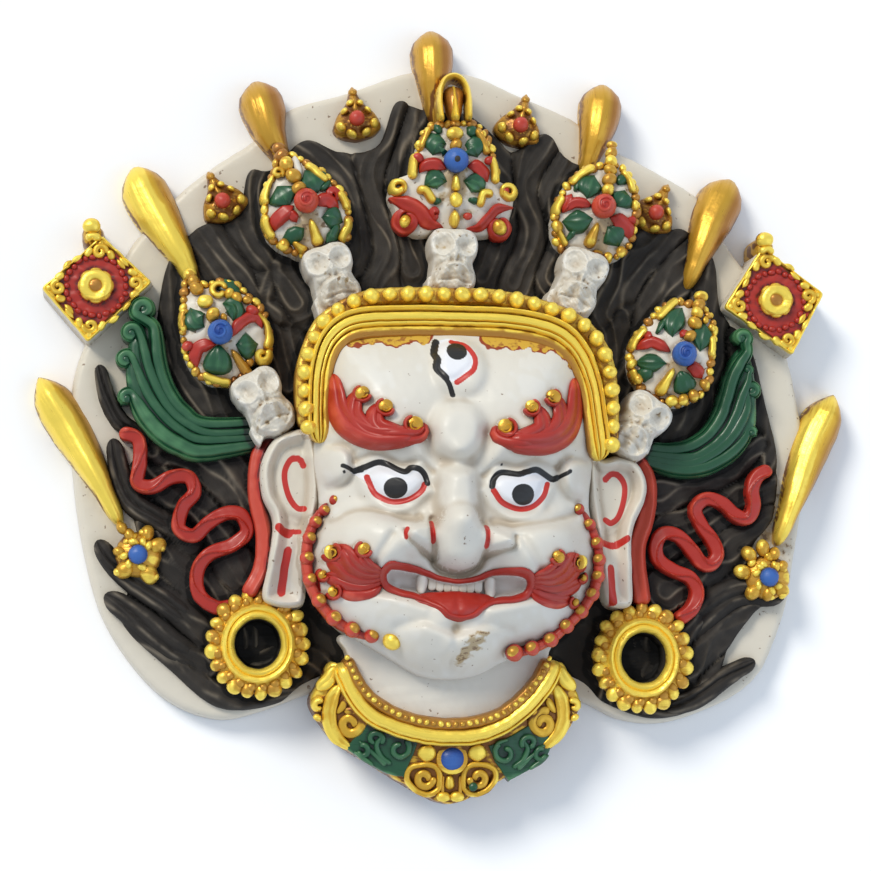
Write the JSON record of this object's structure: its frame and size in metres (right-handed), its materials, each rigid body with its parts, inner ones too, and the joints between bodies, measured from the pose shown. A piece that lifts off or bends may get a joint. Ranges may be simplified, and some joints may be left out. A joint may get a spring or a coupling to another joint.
{
  "type": "bhairab mask",
  "caption": "Flat-backed cast wall mask of a wrathful three-eyed deity with skull crown, flame buds, locks of hair, hoop earrings and a gilded collar.",
  "frame": {"origin": "on the flat back, on the mask's middle line, halfway up the head", "axes": "+X to the viewer's right, +Y to the top of the mask, +Z out of the face; the mask lies on its back"},
  "size_m": [0.2231, 0.2114, 0.0565],
  "materials": {
    "chalk_white": "chalky hand-brushed white paint over cast plaster",
    "hair_black": "matte black paint, dry-brushed grey on the ridges",
    "gold_paint": "metallic gold paint over a brown ground",
    "cinnabar_red": "satin red paint",
    "leaf_green": "satin dark green paint",
    "bead_blue": "satin blue paint"
  },
  "bodies": {
    "root": {"mask": "chalk_white"}
  },
  "joints": []
}
